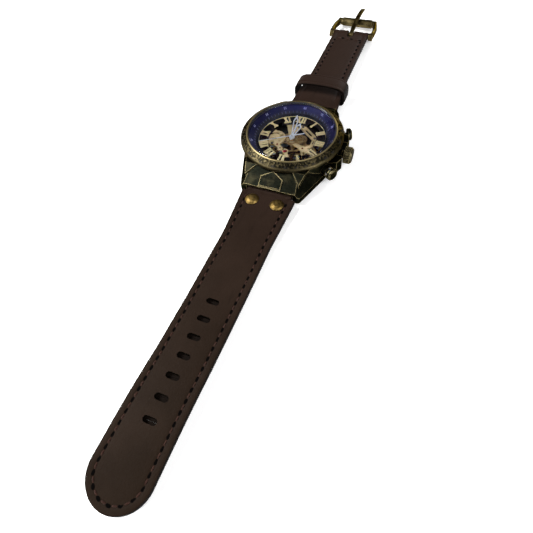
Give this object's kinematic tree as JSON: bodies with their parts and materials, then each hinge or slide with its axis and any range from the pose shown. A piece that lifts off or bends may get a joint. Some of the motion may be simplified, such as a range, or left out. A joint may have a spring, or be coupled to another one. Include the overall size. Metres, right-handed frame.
{
  "type": "skeleton wristwatch",
  "caption": "Skeleton automatic wristwatch: round bronze case with hooded lugs, open dial and gear train, leather strap with loop and roller buckle, laid flat.",
  "frame": {"origin": "centre of the case back's resting face", "axes": "+X to the crown at 3 o'clock, +Y to 12 o'clock and the buckle, +Z out of the dial; the watch lies flat and open"},
  "size_m": [0.0477, 0.2631, 0.0133],
  "materials": {
    "bronze": "antique bronze, dark patina with worn brassy edges",
    "aged_brass": "aged brass, satin, slightly tarnished",
    "gold": "brushed gilt brass",
    "bridge_metal": "striped nickel finish",
    "steel": "fine brushed steel",
    "silver": "polished, rhodium plated",
    "dark_metal": "satin black",
    "navy": "satin navy lacquer with printed white marks",
    "print": "white printed marks",
    "glass": "polished mineral glass with a blue coating",
    "back_glass": "polished mineral glass",
    "ruby": "polished synthetic ruby",
    "rubber": "matt nitrile",
    "leather": "smooth dark brown waxed leather",
    "lining": "plain brown lining leather",
    "thread": "waxed red-brown sewing thread"
  },
  "bodies": {
    "case": {"case_middle": "bronze", "bezel": "bronze", "crystal": "glass", "crystal_gasket": "rubber", "chapter_ring": "navy", "movement_ring": "dark_metal", "case_back_ring": "bronze", "case_back_glass": "back_glass", "case_back_gasket": "rubber", "case_back_screws": "steel", "crown_tube": "bronze", "pusher_tubes": "bronze", "pusher_springs": "steel", "spring_bar_long": "steel", "spring_bar_short": "steel", "dial_ring": "gold", "main_plate": "gold", "barrel_bridge": "bridge_metal", "train_bridge": "bridge_metal", "pallet_bridge": "bridge_metal", "balance_cock": "bridge_metal", "jewels": "ruby", "movement_screws": "steel", "rotor_bearing": "steel"},
    "rotor": {"rotor": "gold"},
    "barrel": {"barrel_drum": "gold", "mainspring": "steel"},
    "ratchet": {"ratchet_wheel": "steel", "barrel_arbor": "steel"},
    "crown_wheel": {"crown_wheel": "steel"},
    "click": {"click": "steel"},
    "winding_pinion": {"winding_pinion": "steel"},
    "crown": {"crown": "bronze", "winding_stem": "steel"},
    "centre": {"centre_wheel": "gold", "cannon_pinion": "gold", "minute_hand": "silver"},
    "minute_wheel": {"minute_wheel": "gold"},
    "hour": {"hour_wheel": "gold", "hour_hand": "silver"},
    "third": {"third_wheel": "gold"},
    "seconds": {"fourth_wheel": "gold", "seconds_hand": "steel"},
    "escape": {"escape_wheel": "steel"},
    "fork": {"pallet_fork": "steel"},
    "balance": {"balance_wheel": "gold", "balance_staff": "steel", "hairspring": "steel"},
    "pusher_upper": {"pusher_upper": "bronze"},
    "pusher_lower": {"pusher_lower": "bronze"},
    "strap_long": {"strap_long_leather": "leather", "strap_long_lining": "lining", "strap_rivets": "aged_brass"},
    "strap_short": {"strap_short_leather": "leather", "strap_short_lining": "lining"},
    "keeper": {"keeper": "leather"},
    "buckle": {"buckle_frame": "aged_brass", "buckle_bar": "steel"},
    "roller": {"buckle_roller": "aged_brass"},
    "tongue": {"buckle_tongue": "aged_brass"}
  },
  "joints": [
    {"name": "minute_turn", "type": "hinge", "parent": "case", "child": "centre", "pos_m": [0, 0, 0.00625], "axis": [0, 0, -1], "continuous": true},
    {"name": "hour_turn", "type": "hinge", "parent": "case", "child": "hour", "pos_m": [0, 0, 0.0079], "axis": [0, 0, -1], "continuous": true},
    {"name": "seconds_turn", "type": "hinge", "parent": "case", "child": "seconds", "pos_m": [0, 0, 0.00385], "axis": [0, 0, -1], "continuous": true},
    {"name": "barrel_turn", "type": "hinge", "parent": "case", "child": "barrel", "pos_m": [-0.00128, 0.00724, 0.0052], "axis": [0, 0, -1], "continuous": true},
    {"name": "third_turn", "type": "hinge", "parent": "case", "child": "third", "pos_m": [0.00577, -0.00333, 0.0043], "axis": [0, 0, -1], "continuous": true},
    {"name": "minute_wheel_turn", "type": "hinge", "parent": "case", "child": "minute_wheel", "pos_m": [0.00336, 0.00129, 0.0075], "axis": [0, 0, -1], "continuous": true},
    {"name": "escape_turn", "type": "hinge", "parent": "case", "child": "escape", "pos_m": [-0.00527, -0.00397, 0.0051], "axis": [0, 0, -1], "continuous": true},
    {"name": "fork_rock", "type": "hinge", "parent": "case", "child": "fork", "pos_m": [-0.0033, -0.00572, 0.0051], "axis": [0, 0, -1], "range_deg": [-5, 5]},
    {"name": "balance_swing", "type": "hinge", "parent": "case", "child": "balance", "pos_m": [-0.0006, -0.0069, 0.0058], "axis": [0, 0, -1], "range_deg": [-270, 270]},
    {"name": "rotor_spin", "type": "hinge", "parent": "case", "child": "rotor", "pos_m": [0, 0, 0.0022], "axis": [0, 0, -1], "continuous": true},
    {"name": "crown_turn", "type": "hinge", "parent": "case", "child": "winding_pinion", "pos_m": [0.0126, 0, 0.0058], "axis": [1, 0, 0], "continuous": true},
    {"name": "crown_pull", "type": "slide", "parent": "winding_pinion", "child": "crown", "axis": [1, 0, 0], "range_m": [0, 0.0012]},
    {"name": "crown_wheel_turn", "type": "hinge", "parent": "case", "child": "crown_wheel", "pos_m": [0.00788, 0.00246, 0.0028], "axis": [0, 0, -1], "continuous": true},
    {"name": "ratchet_turn", "type": "hinge", "parent": "case", "child": "ratchet", "pos_m": [-0.00128, 0.00724, 0.0028], "axis": [0, 0, -1], "continuous": true},
    {"name": "click_lift", "type": "hinge", "parent": "case", "child": "click", "pos_m": [-0.00836, 0.00687, 0.0028], "axis": [0, 0, -1], "range_deg": [0, 12]},
    {"name": "pusher_upper_press", "type": "slide", "parent": "case", "child": "pusher_upper", "axis": [-0.866, -0.5, 0], "range_m": [0, 0.0012], "stiffness_N_per_m": 350},
    {"name": "pusher_lower_press", "type": "slide", "parent": "case", "child": "pusher_lower", "axis": [-0.866, 0.5, 0], "range_m": [0, 0.0012], "stiffness_N_per_m": 350},
    {"name": "strap_long_swing", "type": "hinge", "parent": "case", "child": "strap_long", "pos_m": [0, -0.0252, 0.00295], "axis": [-1, 0, 0], "range_deg": [-85, 6]},
    {"name": "strap_short_swing", "type": "hinge", "parent": "case", "child": "strap_short", "pos_m": [0, 0.0252, 0.00295], "axis": [1, 0, 0], "range_deg": [-85, 6]},
    {"name": "keeper_slide", "type": "slide", "parent": "strap_short", "child": "keeper", "axis": [0, 1, 0], "range_m": [-0.003, 0.032]},
    {"name": "buckle_swing", "type": "hinge", "parent": "strap_short", "child": "buckle", "pos_m": [0, 0.0922, 0.0033], "axis": [1, 0, 0], "range_deg": [-95, 35]},
    {"name": "roller_spin", "type": "hinge", "parent": "buckle", "child": "roller", "pos_m": [0, 0.1046, 0.0033], "axis": [1, 0, 0], "continuous": true},
    {"name": "tongue_swing", "type": "hinge", "parent": "buckle", "child": "tongue", "pos_m": [0, 0.0922, 0.0033], "axis": [1, 0, 0], "range_deg": [0, 80]}
  ],
  "couplings": [
    {"joint": "hour_turn", "follows": "minute_turn", "ratio": 0.083333},
    {"joint": "seconds_turn", "follows": "minute_turn", "ratio": 60},
    {"joint": "barrel_turn", "follows": "minute_turn", "ratio": -0.16667},
    {"joint": "third_turn", "follows": "minute_turn", "ratio": -8},
    {"joint": "minute_wheel_turn", "follows": "minute_turn", "ratio": -0.33333},
    {"joint": "escape_turn", "follows": "minute_turn", "ratio": -600},
    {"joint": "crown_wheel_turn", "follows": "crown_turn", "ratio": 0.375},
    {"joint": "ratchet_turn", "follows": "crown_turn", "ratio": -0.4}
  ]
}
